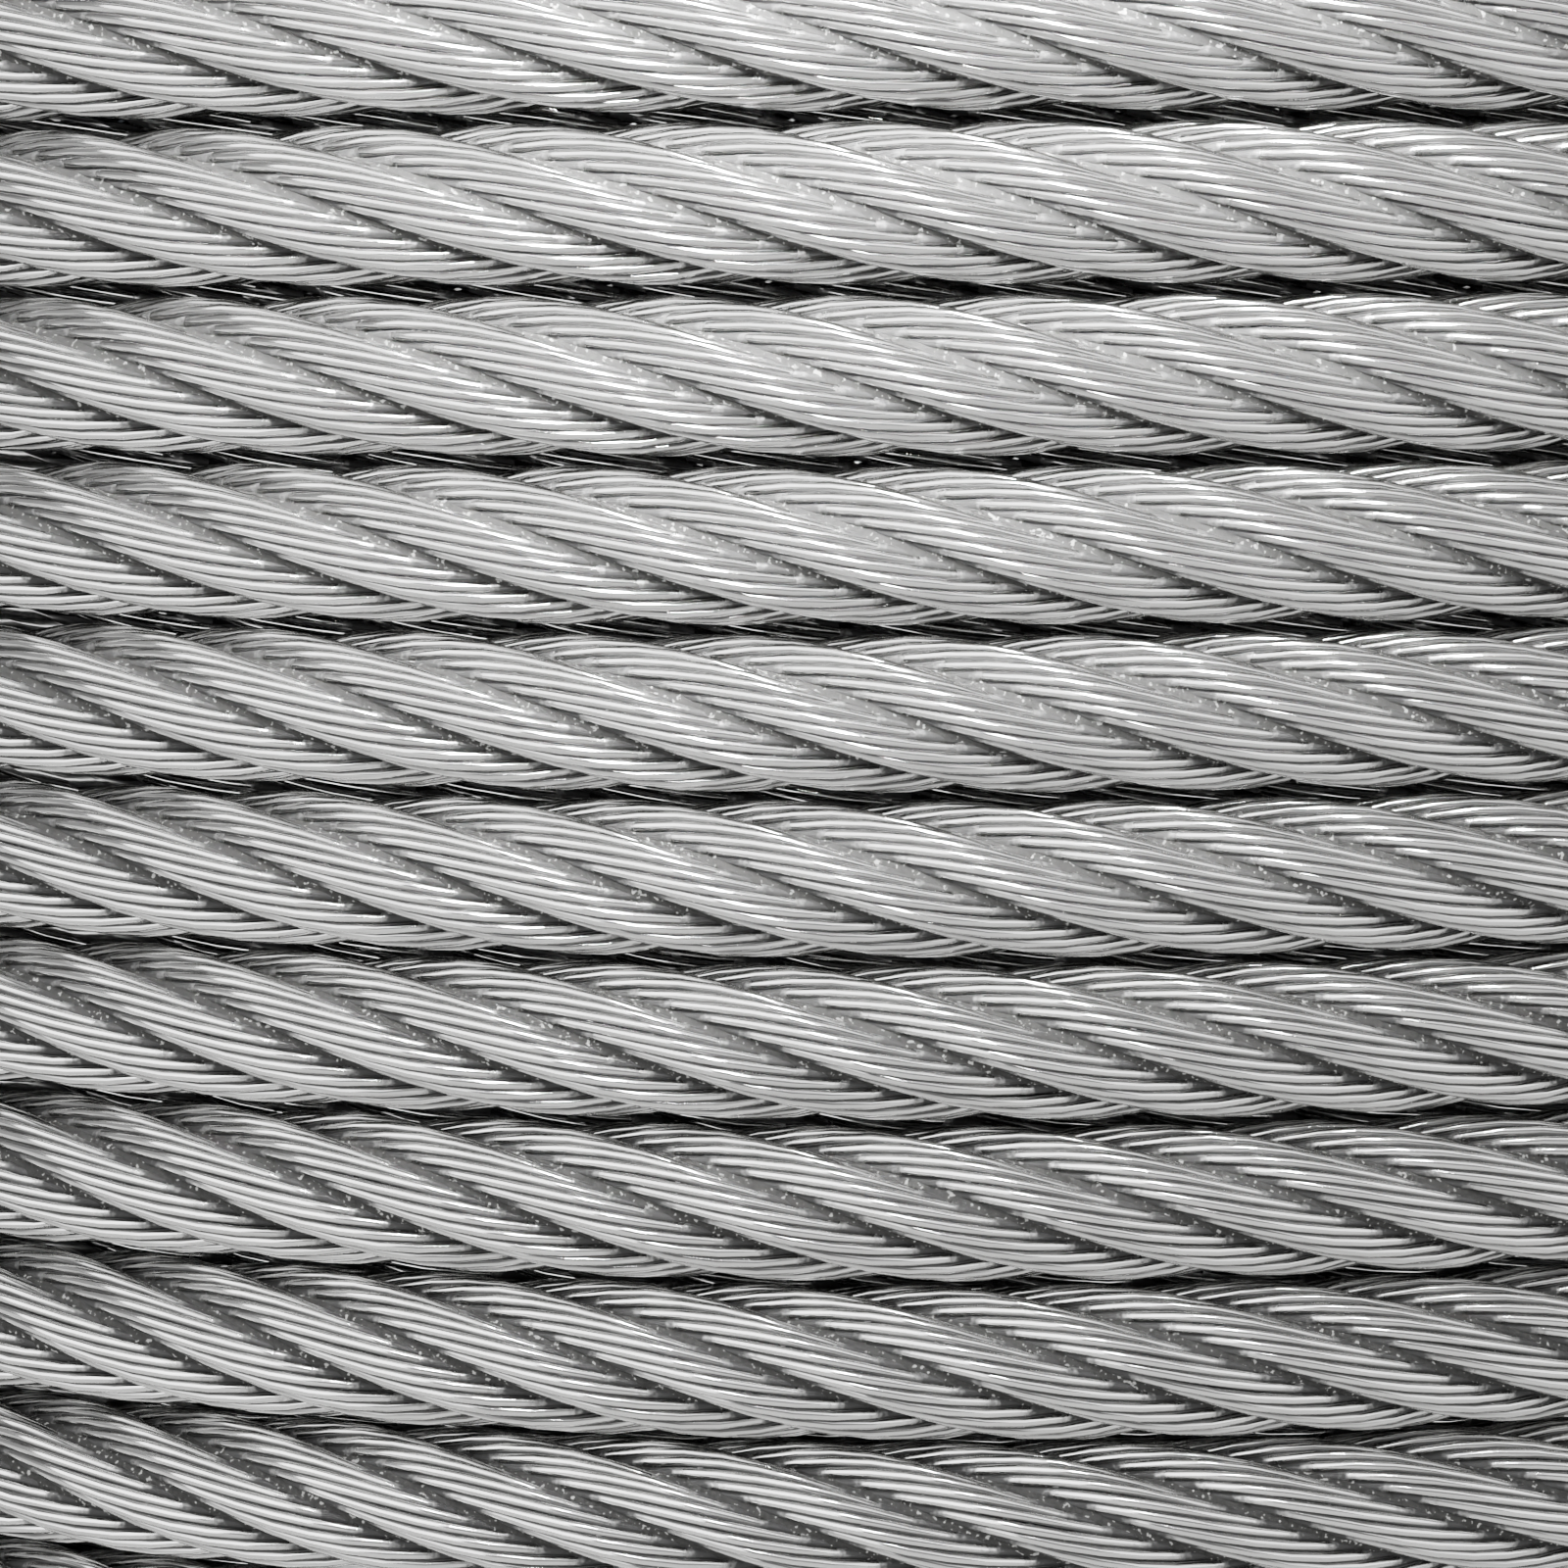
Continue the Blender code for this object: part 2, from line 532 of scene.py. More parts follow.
class RopeTree(GrowthTree):
    """A growth tree that knows how the rope runs round the coil."""

    def __init__(self, name: str, winding: Winding, layer: int) -> None:
        """Add the sizes of the rope as named inputs."""
        super().__init__(name)
        rope = winding.rope
        self.winding = winding
        self.strands = self.size("Strands", rope.strands, "NodeSocketInt")
        self.strand_circle = self.size("Strand circle", rope.strand_circle)
        self.wire_rate = self.size("Wire turns", self.even_wire_rate(winding))
        self.crossing = self.size("Crossing", winding.crossing)
        self.hidden_margin = self.size("Hidden margin", rope.radius * winding.hidden_share)
        self.outside_limit = self.size("Outside limit", winding.outside_limit(layer))
        self.inside_limit = self.size("Inside limit", winding.inside_limit(layer))
        self.lowest = self.size("Lowest centre", winding.lowest)
        self.highest = self.size("Highest centre", winding.highest)

    @staticmethod
    def even_wire_rate(winding: Winding) -> float:
        """Return the wires' turning a radian of azimuth, so that they meet where a turn closes."""
        rope = winding.rope
        turning = math.tau * winding.outer_radius / rope.wire_lay
        return round(turning * rope.wires) / rope.wires

    def turn_size(self, name: str, turn: Value) -> Value:
        """Return one of the turns' sizes for the turn that a point is on."""
        inputs = {"Geometry": self.entry.outputs[0], "Value": self.attribute(name), "Index": turn}
        settings = {"data_type": "FLOAT", "domain": "POINT"}
        return self.value("GeometryNodeSampleIndex", settings, inputs)

    def centre(self, turn: Value, azimuth: Value) -> tuple[Value, Value]:
        """Return the radius and the height of the rope's centre at an azimuth."""
        sizes = {name: self.turn_size(name, turn) for name in TURN_FIELDS}
        inputs = {"Value": azimuth, "From Min": sizes["shift_from"], "From Max": sizes["shift_to"]}
        step = self.value("ShaderNodeMapRange", {"interpolation_type": "SMOOTHSTEP"}, inputs)
        zone = ((azimuth - math.pi) / self.crossing + 1.0).math("MAXIMUM", 0.0)
        bulge = sizes["bulge"] * (zone * math.pi).sine()
        lift = sizes["lift"] * (step * math.pi).sine()
        radius = sizes["radius"] + (sizes["next_radius"] - sizes["radius"]) * step + bulge
        height = sizes["height"] + (sizes["next_height"] - sizes["height"]) * step + lift
        return radius, height

    def strand_angle(self, turn: Value, strand: Value, azimuth: Value) -> Value:
        """Return where a strand lies round the rope's centre, from outward towards up."""
        phase = self.turn_size("phase", turn)
        rate = self.turn_size("rate", turn)
        right = azimuth > 0.0
        catch_left = self.turn_size("catch_left", turn) * (1 - right)
        catch = self.turn_size("catch_right", turn) * right + catch_left
        share = azimuth / math.pi
        spacing = math.tau / self.winding.rope.strands
        return phase + strand * spacing - rate * azimuth - catch * share * share

    def beyond(self, azimuth: Value, turn: Value) -> Value:
        """Return 1 where a point lies past an end of the rope, but not where a turn goes on."""
        begins = self.turn_size("begins", turn)
        ends = self.turn_size("ends", turn)
        before = (azimuth < (begins - 0.001)) * (begins > -math.pi + 0.01)
        after = (azimuth > (ends + 0.001)) * (ends < math.pi - 0.01)
        return before + after

    def inside(self, radius: Value, height: Value) -> Value:
        """Return 1 where a point lies so deep in the winding that nothing shows of it."""
        margin = self.hidden_margin
        below_face = radius < self.outside_limit
        behind_bore = radius > self.inside_limit
        below_top = height < (self.highest - margin)
        above_bottom = height > (self.lowest + margin)
        return below_face * behind_bore * below_top * above_bottom


@dataclass(frozen=True)
class Laid:
    """Long strips, each curved across its width, that are laid along turns of the rope."""

    winding: Winding
    name: str
    turns: tuple[Turn, ...]
    begins: float = -math.pi
    ends: float = math.pi
    ring_spacing: float = 0.005
    across: int = 5
    half_width: float = math.radians(110)

    def strips(self, tree: RopeTree) -> Value:
        """Return how many strips a turn has, one for each strand if nothing else is said."""
        return tree.strands * 1.0

    def rings(self) -> int:
        """Return how many points a strip has along its length."""
        return math.ceil((self.ends - self.begins) * self.winding.outer_radius / self.ring_spacing)

    def azimuth(self, tree: RopeTree, strip: Value, along: Value, turn: Value) -> Value:
        """Return where a point lies round the coil, a share of the way along its strip."""
        first = tree.turn_size("begins", turn).math("MAXIMUM", tree.size("Begins", self.begins))
        last = tree.turn_size("ends", turn).math("MINIMUM", tree.size("Ends", self.ends))
        return first + (last - first) * along

    def section(
        self, tree: RopeTree, strip: Value, azimuth: Value, turned: Value, turn: Value
    ) -> tuple[Value, Value, Mapping[str, Value]]:
        """Return where a point lies in the rope's section.

        Args:
            tree: The tree that is being built.
            strip: The number of the point's strip among those of its turn.
            azimuth: Where the point lies round the coil.
            turned: How far the point lies round its strip's curve, from outward.
            turn: The number of the point's turn.

        Returns:
            The point's place outward and up from the rope's centre, and the values that the
            finish needs, by name.
        """
        raise NotImplementedError

    def build(self, material: bpy.types.Material) -> bpy.types.Object:
        """Lay the strips.

        Args:
            material: The finish.

        Returns:
            The strips as one piece.
        """
        tree = RopeTree(self.name, self.winding, self.turns[0].layer)
        count = tree.size("Turns", len(self.turns), "NodeSocketInt")
        rings = tree.size("Rings", self.rings(), "NodeSocketInt")
        across = tree.size("Points across", self.across, "NodeSocketInt")
        half_width = tree.size("Half width", self.half_width)

        sheet_sizes = {"Size X": 1.0, "Size Y": 1.0, "Vertices X": rings, "Vertices Y": across}
        sheet = tree.value("GeometryNodeMeshGrid", None, sheet_sizes)
        strips = self.strips(tree)
        places = tree.value(
            "GeometryNodeMeshLine", None, {"Count": count * strips, "Offset": (0.0, 0.0, 0.0)}
        )
        copies = tree.value(
            "GeometryNodeInstanceOnPoints", None, {"Points": places, "Instance": sheet}
        )
        number = tree.value("GeometryNodeInputIndex")
        numbered = tree.store(copies, STRIP, number, "INSTANCE", "INT")
        laid = tree.value("GeometryNodeRealizeInstances", None, {"Geometry": numbered})

        flat_place = tree.value("GeometryNodeInputPosition")
        split = tree.add("ShaderNodeSeparateXYZ", None, {0: flat_place})
        along = Value(tree, split.outputs["X"]) + 0.5
        turned = Value(tree, split.outputs["Y"]) * -2.0 * half_width
        strip = tree.attribute(STRIP, "INT")
        turn = (strip / strips).floor()
        azimuth = self.azimuth(tree, strip % strips, along, turn)
        out, up, names = self.section(tree, strip % strips, azimuth, turned, turn)
        radius, height = tree.centre(turn, azimuth)
        radius, height = radius + out, height + up
        names = {**names, "hidden": tree.inside(radius, height) + tree.beyond(azimuth, turn)}
        for name, value in names.items():
            laid = tree.store(laid, name, value, "POINT")
        position = tree.vector(radius * azimuth.sine(), radius * azimuth.cosine() * -1.0, height)
        placed = tree.value(
            "GeometryNodeSetPosition", None, {"Geometry": laid, "Position": position}
        )
        hidden = tree.attribute("hidden")
        shown = tree.value(
            "GeometryNodeDeleteGeometry", {"domain": "POINT"}, {0: placed, 1: hidden}
        )
        tree.finish(shown, material)
        return tree.grow(self.name, turn_mesh(self.name, self.turns))


@dataclass(frozen=True)
class WireCoat(Laid):
    """The outer wires of the strands: each run of a wire over its strand, from groove to groove."""

    run_rings: int = 5
    wire_reach: float = math.radians(108)
    wander: float = 0.045
    unevenness: float = 0.00003

    def run_range(self) -> tuple[int, int]:
        """Return the number of the first run over a strand in the sector and how many there are."""
        runs_a_radian = RopeTree.even_wire_rate(self.winding) * self.winding.rope.wires / math.tau
        first = math.ceil(self.begins * runs_a_radian)
        return first, math.ceil(self.ends * runs_a_radian) - first

    def strips(self, tree: RopeTree) -> Value:
        """Return how many runs of wire a turn has."""
        return tree.strands * tree.size("Runs", self.run_range()[1], "NodeSocketInt")

    def rings(self) -> int:
        """Return how many points a run has along its length."""
        return self.run_rings

    def wire_angle(self, along: Value) -> Value:
        """Return where a run lies round its strand, from groove to groove."""
        return (along * 2.0 - 1.0) * self.wire_reach

    def azimuth(self, tree: RopeTree, strip: Value, along: Value, turn: Value) -> Value:
        """Return where a point lies round the coil, a share of the way along its run."""
        first, count = self.run_range()
        run = strip % float(count) + float(first)
        spacing = math.tau / self.winding.rope.wires
        return (self.wire_angle(along) + run * spacing) / tree.wire_rate

    def section(
        self, tree: RopeTree, strip: Value, azimuth: Value, turned: Value, turn: Value
    ) -> tuple[Value, Value, Mapping[str, Value]]:
        """Return where a point of a wire lies in the rope's section, as in Laid."""
        rope = self.winding.rope
        wire_circle = tree.size("Wire circle", rope.wire_circle)
        wire_radius = tree.size("Wire radius", rope.wire_radius)
        first, count = self.run_range()
        strand = (strip / float(count)).floor()
        run = strip % float(count) + float(first)
        strand_angle = tree.strand_angle(turn, strand, azimuth)
        number = tree.attribute(STRIP, "INT")
        straight = tree.wire_rate * azimuth - run * (math.tau / rope.wires)
        wire_angle = straight + self.drift(tree, azimuth, number) * self.wander
        reach = wire_circle + self.drift(tree, azimuth, number + 0.5) * self.unevenness
        whole = strand_angle + wire_angle
        edge = whole + turned
        out = tree.strand_circle * strand_angle.cosine() + reach * whole.cosine()
        up = tree.strand_circle * strand_angle.sine() + reach * whole.sine()
        out, up = out + wire_radius * edge.cosine(), up + wire_radius * edge.sine()
        return out, up, {EXPOSURE: wire_angle.cosine(), CROWN: turned.cosine()}

    @staticmethod
    def drift(tree: RopeTree, azimuth: Value, strip: Value) -> Value:
        """Return a slow random drift along each wire, from about -1 to 1."""
        place = tree.vector(azimuth * 7.0, strip * 3.7, 0.0)
        inputs = {"Vector": place, "Scale": 1.0, "Detail": 1.0}
        noise = tree.value("ShaderNodeTexNoise", None, inputs)
        return (noise - 0.5) * 4.0


@dataclass(frozen=True)
class StrandSkin(Laid):
    """The strands of some turns, each as a curved skin from one groove to the next."""

    across: int = 6
    sunk_share: float = 0.2

    def section(
        self, tree: RopeTree, strip: Value, azimuth: Value, turned: Value, turn: Value
    ) -> tuple[Value, Value, Mapping[str, Value]]:
        """Return where a point of a strand lies in the rope's section, as in Laid."""
        rope = self.winding.rope
        radius = rope.strand_radius - self.sunk_share * rope.wire_radius
        skin_radius = tree.size("Skin radius", radius)
        strand_angle = tree.strand_angle(turn, strip, azimuth)
        whole = strand_angle + turned
        out = tree.strand_circle * strand_angle.cosine() + skin_radius * whole.cosine()
        up = tree.strand_circle * strand_angle.sine() + skin_radius * whole.sine()
        phase = (turned - tree.wire_rate * azimuth) * (rope.wires / math.tau)
        return out, up, {EXPOSURE: turned.cosine(), WIRE_PHASE: phase}


@dataclass(frozen=True)
class GrooveGrease(Laid):
    """The hardened grease that fills the bottom of the grooves between strands."""

    across: int = 3
    half_width: float = math.radians(15)
    depth: float = 0.00134

    def section(
        self, tree: RopeTree, strip: Value, azimuth: Value, turned: Value, turn: Value
    ) -> tuple[Value, Value, Mapping[str, Value]]:
        """Return where a point of the grease lies in the rope's section, as in Laid."""
        level = tree.size("Grease radius", self.winding.rope.radius - self.depth)
        groove = tree.strand_angle(turn, strip + 0.5, azimuth) + turned
        return level * groove.cosine(), level * groove.sine(), {}


@dataclass(frozen=True)
class RopeEnd:
    """A cut end of the rope, with the thin wire that is wound round it to hold its strands."""

    winding: Winding
    name: str
    turn: Turn
    azimuth: float
    forward: float
    stub: float = 0.009
    inner_wires: int = 6
    wire_sides: int = 8
    core_sides: int = 12
    serving_wire: float = 0.00024
    serving_turns: int = 18
    serving_start: float = 0.007
    serving_sides: int = 6
    serving_steps: int = 24

    def frame_at(self, back: float) -> tuple[Vector, Vector, Vector, Vector]:
        """Return the rope's centre and its outward, up and forward directions near the end."""
        azimuth = self.azimuth - self.forward * back / self.turn.radius
        outward = Vector((math.sin(azimuth), -math.cos(azimuth), 0.0))
        along = Vector((math.cos(azimuth), math.sin(azimuth), 0.0)) * self.forward
        centre = outward * self.turn.radius + Vector((0.0, 0.0, self.turn.height))
        return centre, outward, Vector((0.0, 0.0, 1.0)), along

    def wire_places(self) -> list[tuple[float, float]]:
        """Return where each wire of the cut lies, outward and up from the rope's centre."""
        rope = self.winding.rope
        wire_rate = RopeTree.even_wire_rate(self.winding)
        places = []
        for strand in range(rope.strands):
            angle = self.turn.strand_angle(self.azimuth) + strand * math.tau / rope.strands
            middle = (rope.strand_circle * math.cos(angle), rope.strand_circle * math.sin(angle))
            places.append(middle)
            rings = ((rope.wires, rope.wire_circle), (self.inner_wires, rope.wire_circle / 2))
            for count, circle in rings:
                for wire in range(count):
                    turned = angle + wire * math.tau / count + wire_rate * self.azimuth
                    out = middle[0] + circle * math.cos(turned)
                    places.append((out, middle[1] + circle * math.sin(turned)))
        return places

    def add_tube(self, shape: bmesh.types.BMesh, rings: Sequence[Sequence[Vector]]) -> None:
        """Join rings of points to a tube with flat ends."""
        rows = [[shape.verts.new(point) for point in ring] for ring in rings]
        for near, far in zip(rows, rows[1:]):
            for index, corner in enumerate(near):
                after = (index + 1) % len(near)
                shape.faces.new((corner, near[after], far[after], far[index]))
        shape.faces.new(rows[0][::-1])
        shape.faces.new(rows[-1])

    def ring(
        self, back: float, place: tuple[float, float], radius: float, sides: int
    ) -> list[Vector]:
        """Return a ring of points across the rope's direction."""
        centre, outward, up, _ = self.frame_at(back)
        points = []
        for side in range(sides):
            angle = side * math.tau / sides
            out = place[0] + radius * math.cos(angle)
            rise = place[1] + radius * math.sin(angle)
            points.append(centre + outward * out + up * rise)
        return points

    def add_serving(self, shape: bmesh.types.BMesh) -> None:
        """Wind the thin wire round the rope, its turns side by side."""
        reach = self.winding.rope.radius + self.serving_wire * 0.6
        total = self.serving_turns * self.serving_steps
        rings = []
        for step in range(total + 1):
            turned = step * math.tau / self.serving_steps
            back = self.serving_start + step * 2 * self.serving_wire / self.serving_steps
            centre, outward, up, along = self.frame_at(back)
            spoke = outward * math.cos(turned) + up * math.sin(turned)
            ring = []
            for side in range(self.serving_sides):
                angle = side * math.tau / self.serving_sides
                lean = spoke * math.cos(angle) + along * math.sin(angle)
                ring.append(centre + spoke * reach + lean * self.serving_wire)
            rings.append(ring)
        self.add_tube(shape, rings)

    def build(self, wire: bpy.types.Material, fibre: bpy.types.Material) -> bpy.types.Object:
        """Make the cut wires, the fibre core and the serving.

        Args:
            wire: The finish of the steel.
            fibre: The finish of the core.

        Returns:
            The rope's end as one piece.
        """
        rope = self.winding.rope
        shape = bmesh.new()
        for place in self.wire_places():
            rings = [
                self.ring(back, place, rope.wire_radius * share, self.wire_sides)
                for back, share in ((self.stub, 0.9), (0.0003, 0.97), (0.0, 0.7))
            ]
            self.add_tube(shape, rings)
        self.add_serving(shape)
        steel_faces = len(shape.faces)
        core = rope.strand_circle - rope.strand_radius
        rings = [
            self.ring(back, (0.0, 0.0), core * share, self.core_sides)
            for back, share in ((0.003, 1.1), (-0.0004, 0.9))
        ]
        self.add_tube(shape, rings)
        for index, face in enumerate(shape.faces):
            face.material_index = 0 if index < steel_faces else 1
            face.smooth = True
        bmesh.ops.recalc_face_normals(shape, faces=shape.faces)
        mesh = bpy.data.meshes.new(self.name)
        shape.to_mesh(mesh)
        shape.free()
        for material in (wire, fibre):
            mesh.materials.append(material)
        piece = bpy.data.objects.new(self.name, mesh)
        bpy.context.scene.collection.objects.link(piece)
        return piece


class Finish:
    """A finish: a Principled material and its tree."""

    def start(self, name: str) -> tuple[bpy.types.Material, Tree, bpy.types.Node]:
        """Start a material and return it with its tree and its shader."""
        material = bpy.data.materials.new(name)
        material.use_nodes = True
        tree = Tree(material.node_tree)
        return material, tree, material.node_tree.nodes["Principled BSDF"]

    @staticmethod
    def attribute(tree: Tree, name: str) -> Value:
        """Return a named attribute of the piece."""
        settings = {"attribute_name": name, "attribute_type": "GEOMETRY"}
        return tree.value("ShaderNodeAttribute", settings, None, "Fac")

    @staticmethod
    def noise(tree: Tree, scale: float, detail: float = 2.0) -> Value:
        """Return a noise pattern on Object coordinates, from 0 to 1."""
        place = tree.value("ShaderNodeTexCoord", None, None, "Object")
        inputs = {"Vector": place, "Scale": scale, "Detail": detail}
        return tree.value("ShaderNodeTexNoise", None, inputs)

    @staticmethod
    def blend(
        tree: Tree, share: object, first: tuple[float, ...], second: tuple[float, ...]
    ) -> Value:
        """Return a mix of two colours."""
        settings = {"data_type": "RGBA"}
        inputs = {"Factor": share, 6: (*first, 1.0), 7: (*second, 1.0)}
        return tree.value("ShaderNodeMix", settings, inputs, 2)

    @staticmethod
    def bump(
        tree: Tree, shader: bpy.types.Node, strength: float, distance: float, height: Value
    ) -> None:
        """Let a pattern tilt the surface."""
        inputs = {"Strength": strength, "Distance": distance, "Height": height}
        tree.feed(shader.inputs["Normal"], tree.value("ShaderNodeBump", None, inputs))


@dataclass(frozen=True)
class WireSteel(Finish):
    """Bright drawn wire, darker with grease, grit and painted shade where it dips into a groove,
    and with painted shade down its sides towards the wires next to it.
    """

    bright: tuple[float, float, float] = (0.86, 0.86, 0.85)
    # The dark colour of the grease in the grooves and of the painted shade on the wires.
    grease_and_shade: tuple[float, float, float] = (0.04, 0.04, 0.04)
    roughness: float = 0.10
    film_shine: float = 0.2
    edge_tint: tuple[float, float, float] = (0.6, 0.6, 0.6)
    grit_scale: float = 2600.0
    scratch_scale: float = 5200.0
    scratch_depth: float = 0.000001

    def build(self) -> bpy.types.Material:
        """Return the material."""
        material, tree, shader = self.start("wire_steel")
        exposure = self.attribute(tree, EXPOSURE)
        strip = self.attribute(tree, STRIP)
        settings = {"noise_dimensions": "1D"}
        tone = tree.value("ShaderNodeTexWhiteNoise", settings, {"W": strip}, "Value")
        patches = self.noise(tree, PATCH_SCALE)
        grit = self.noise(tree, self.grit_scale, 1.0)
        # Grease and painted shade: the wire darkens where it dips into a groove between strands.
        clean_and_unshaded = (exposure + (grit - 0.5) * 0.3).between(0.02, 0.34)
        # Painted shade: the wire darkens down its sides, towards the valleys between neighbouring
        # wires.
        crown = 0.08 + 0.92 * self.attribute(tree, CROWN).between(0.15, 0.95)
        # The mix carries grease, painted shade and random tone at once.
        share = clean_and_unshaded * crown * (0.86 + 0.14 * tone) * (0.80 + 0.30 * patches)
        tree.feed(shader.inputs["Base Color"], self.blend(tree, share, self.grease_and_shade, self.bright))
        rough = self.roughness + (1 - clean_and_unshaded) * 0.35 + (patches - 0.5) * 0.06
        tree.feed(shader.inputs["Roughness"], rough)
        tree.feed(shader.inputs["Metallic"], share.between(0.0, 0.3))
        shader.inputs["Specular IOR Level"].default_value = self.film_shine
        shader.inputs["Specular Tint"].default_value = (*self.edge_tint, 1.0)
        scratches = self.noise(tree, self.scratch_scale, 1.0)
        self.bump(tree, shader, 0.3, self.scratch_depth, scratches)
        return material


@dataclass(frozen=True)
class StrandSteel(Finish):
    """A strand whose wires are drawn by a bump and by painted shade in the valleys between them,
    darker with grease and painted shade where it dips into a groove.
    """

    bright: tuple[float, float, float] = (0.78, 0.78, 0.77)
    # The dark colour of the grease in the grooves and of the painted shade on the strands.
    grease_and_shade: tuple[float, float, float] = (0.05, 0.05, 0.05)
    roughness: float = 0.32
    film_shine: float = 0.2
    wire_depth: float = 0.00022

    def build(self) -> bpy.types.Material:
        """Return the material."""
        material, tree, shader = self.start("strand_steel")
        exposure = self.attribute(tree, EXPOSURE)
        phase = self.attribute(tree, WIRE_PHASE)
        ridge = (phase * math.tau).cosine() * 0.5 + 0.5
        crown = ridge**0.5
        patches = self.noise(tree, PATCH_SCALE)
        # Grease and painted shade: the strand darkens towards its flanks, where it dips into a
        # groove.
        clean_and_unshaded = exposure.between(-0.1, 0.5)
        # Painted shade: dark stripes in the valleys between the wires, which are drawn only by a
        # bump.
        share = clean_and_unshaded * (0.30 + 0.70 * ridge.between(0.02, 0.5)) * (0.85 + 0.25 * patches)
        tree.feed(shader.inputs["Base Color"], self.blend(tree, share, self.grease_and_shade, self.bright))
        tree.feed(shader.inputs["Roughness"], self.roughness + (1 - clean_and_unshaded) * 0.35)
        tree.feed(shader.inputs["Metallic"], share.between(0.0, 0.3))
        shader.inputs["Specular IOR Level"].default_value = self.film_shine
        self.bump(tree, shader, 1.0, self.wire_depth, crown)
        return material


@dataclass(frozen=True)
class GrittyGrease(Finish):
    """Hardened dark grease with grit in it."""

    colour: tuple[float, float, float] = (0.018, 0.018, 0.0175)
    grit: tuple[float, float, float] = (0.35, 0.35, 0.34)
    grain_scale: float = 3200.0
    grain_depth: float = 0.00006
    roughness: float = 0.7
    shine: float = 0.08

    def build(self) -> bpy.types.Material:
        """Return the material."""
        material, tree, shader = self.start("groove_grease")
        speckle = self.noise(tree, self.grain_scale, 1.0)
        share = 0.10 * speckle + speckle.between(0.62, 0.72)
        tree.feed(shader.inputs["Base Color"], self.blend(tree, share, self.colour, self.grit))
        self.bump(tree, shader, 1.0, self.grain_depth, speckle)
        shader.inputs["Roughness"].default_value = self.roughness
        shader.inputs["Specular IOR Level"].default_value = self.shine
        return material


@dataclass(frozen=True)
class CoreFibre(Finish):
    """The greased fibre of the rope's core."""

    light: tuple[float, float, float] = (0.30, 0.22, 0.13)
    dark: tuple[float, float, float] = (0.10, 0.07, 0.04)
    fibre_scale: float = 1800.0
    fibre_depth: float = 0.0002

    def build(self) -> bpy.types.Material:
        """Return the material."""
        material, tree, shader = self.start("core_fibre")
        strands = self.noise(tree, self.fibre_scale, 3.0)
        tree.feed(shader.inputs["Base Color"], self.blend(tree, strands, self.dark, self.light))
        self.bump(tree, shader, 0.8, self.fibre_depth, strands)
        shader.inputs["Roughness"].default_value = 0.8
        return material


@dataclass(frozen=True)
class StrapFinish(Finish):
    """Blued and waxed strapping steel."""

    colour: tuple[float, float, float] = (0.035, 0.040, 0.048)
    worn: tuple[float, float, float] = (0.22, 0.23, 0.24)

    def build(self) -> bpy.types.Material:
        """Return the material."""
        material, tree, shader = self.start("strap_steel")
        cloud = self.noise(tree, 60.0, 4.0)
        scuff = self.noise(tree, 500.0, 3.0).between(0.60, 0.80)
        share = scuff * 0.6 + cloud * 0.15
        tree.feed(shader.inputs["Base Color"], self.blend(tree, share, self.colour, self.worn))
        tree.feed(shader.inputs["Roughness"], 0.38 + (cloud - 0.5) * 0.3)
        shader.inputs["Metallic"].default_value = 0.9
        return material


@dataclass(frozen=True)
class ZincSheet(Finish):
    """The zinc-coated sheet of the seals."""

    light: tuple[float, float, float] = (0.62, 0.63, 0.64)
    dull: tuple[float, float, float] = (0.38, 0.39, 0.40)

    def build(self) -> bpy.types.Material:
        """Return the material."""
        material, tree, shader = self.start("seal_zinc")
        place = tree.value("ShaderNodeTexCoord", None, None, "Object")
        inputs = {"Vector": place, "Scale": 350.0}
        spangle = tree.value("ShaderNodeTexVoronoi", None, inputs, "Color")
        tone = tree.value("ShaderNodeSeparateColor", None, {0: spangle})
        tree.feed(shader.inputs["Base Color"], self.blend(tree, tone, self.dull, self.light))
        tree.feed(shader.inputs["Roughness"], 0.30 + 0.15 * tone)
        shader.inputs["Metallic"].default_value = 1.0
        return material


@dataclass(frozen=True)
class FloorFinish(Finish):
    """A plain pale floor."""

    colour: tuple[float, float, float] = (0.75, 0.75, 0.74)

    def build(self) -> bpy.types.Material:
        """Return the material."""
        material, _, shader = self.start("pale_floor")
        shader.inputs["Base Color"].default_value = (*self.colour, 1.0)
        shader.inputs["Roughness"].default_value = 0.7
        return material


